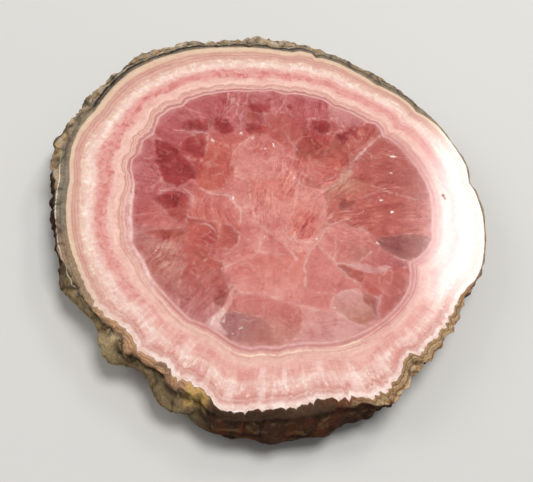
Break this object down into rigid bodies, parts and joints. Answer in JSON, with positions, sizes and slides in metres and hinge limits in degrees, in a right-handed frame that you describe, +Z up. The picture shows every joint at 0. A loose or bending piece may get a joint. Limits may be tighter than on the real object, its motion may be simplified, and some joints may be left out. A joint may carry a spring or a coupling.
{
  "type": "rhodochrosite stalactite slice",
  "caption": "Polished cross slice of a rhodochrosite stalactite: a clear pink-red crystal core in pink and cream growth rings, with a rough brown crust round the edge.",
  "frame": {"origin": "middle of the slice's box in X and Y, on the sawn underside that it rests on", "axes": "+Z up through the polished face, which is the shortest way through the slice; +Y away from the side where the crust wall is thickest, +X to the right seen from there"},
  "size_m": [0.0929, 0.0984, 0.009],
  "materials": {
    "polished_rhodochrosite": "polished"
  },
  "bodies": {
    "root": {"stalactite_slice": "polished_rhodochrosite"}
  },
  "joints": []
}
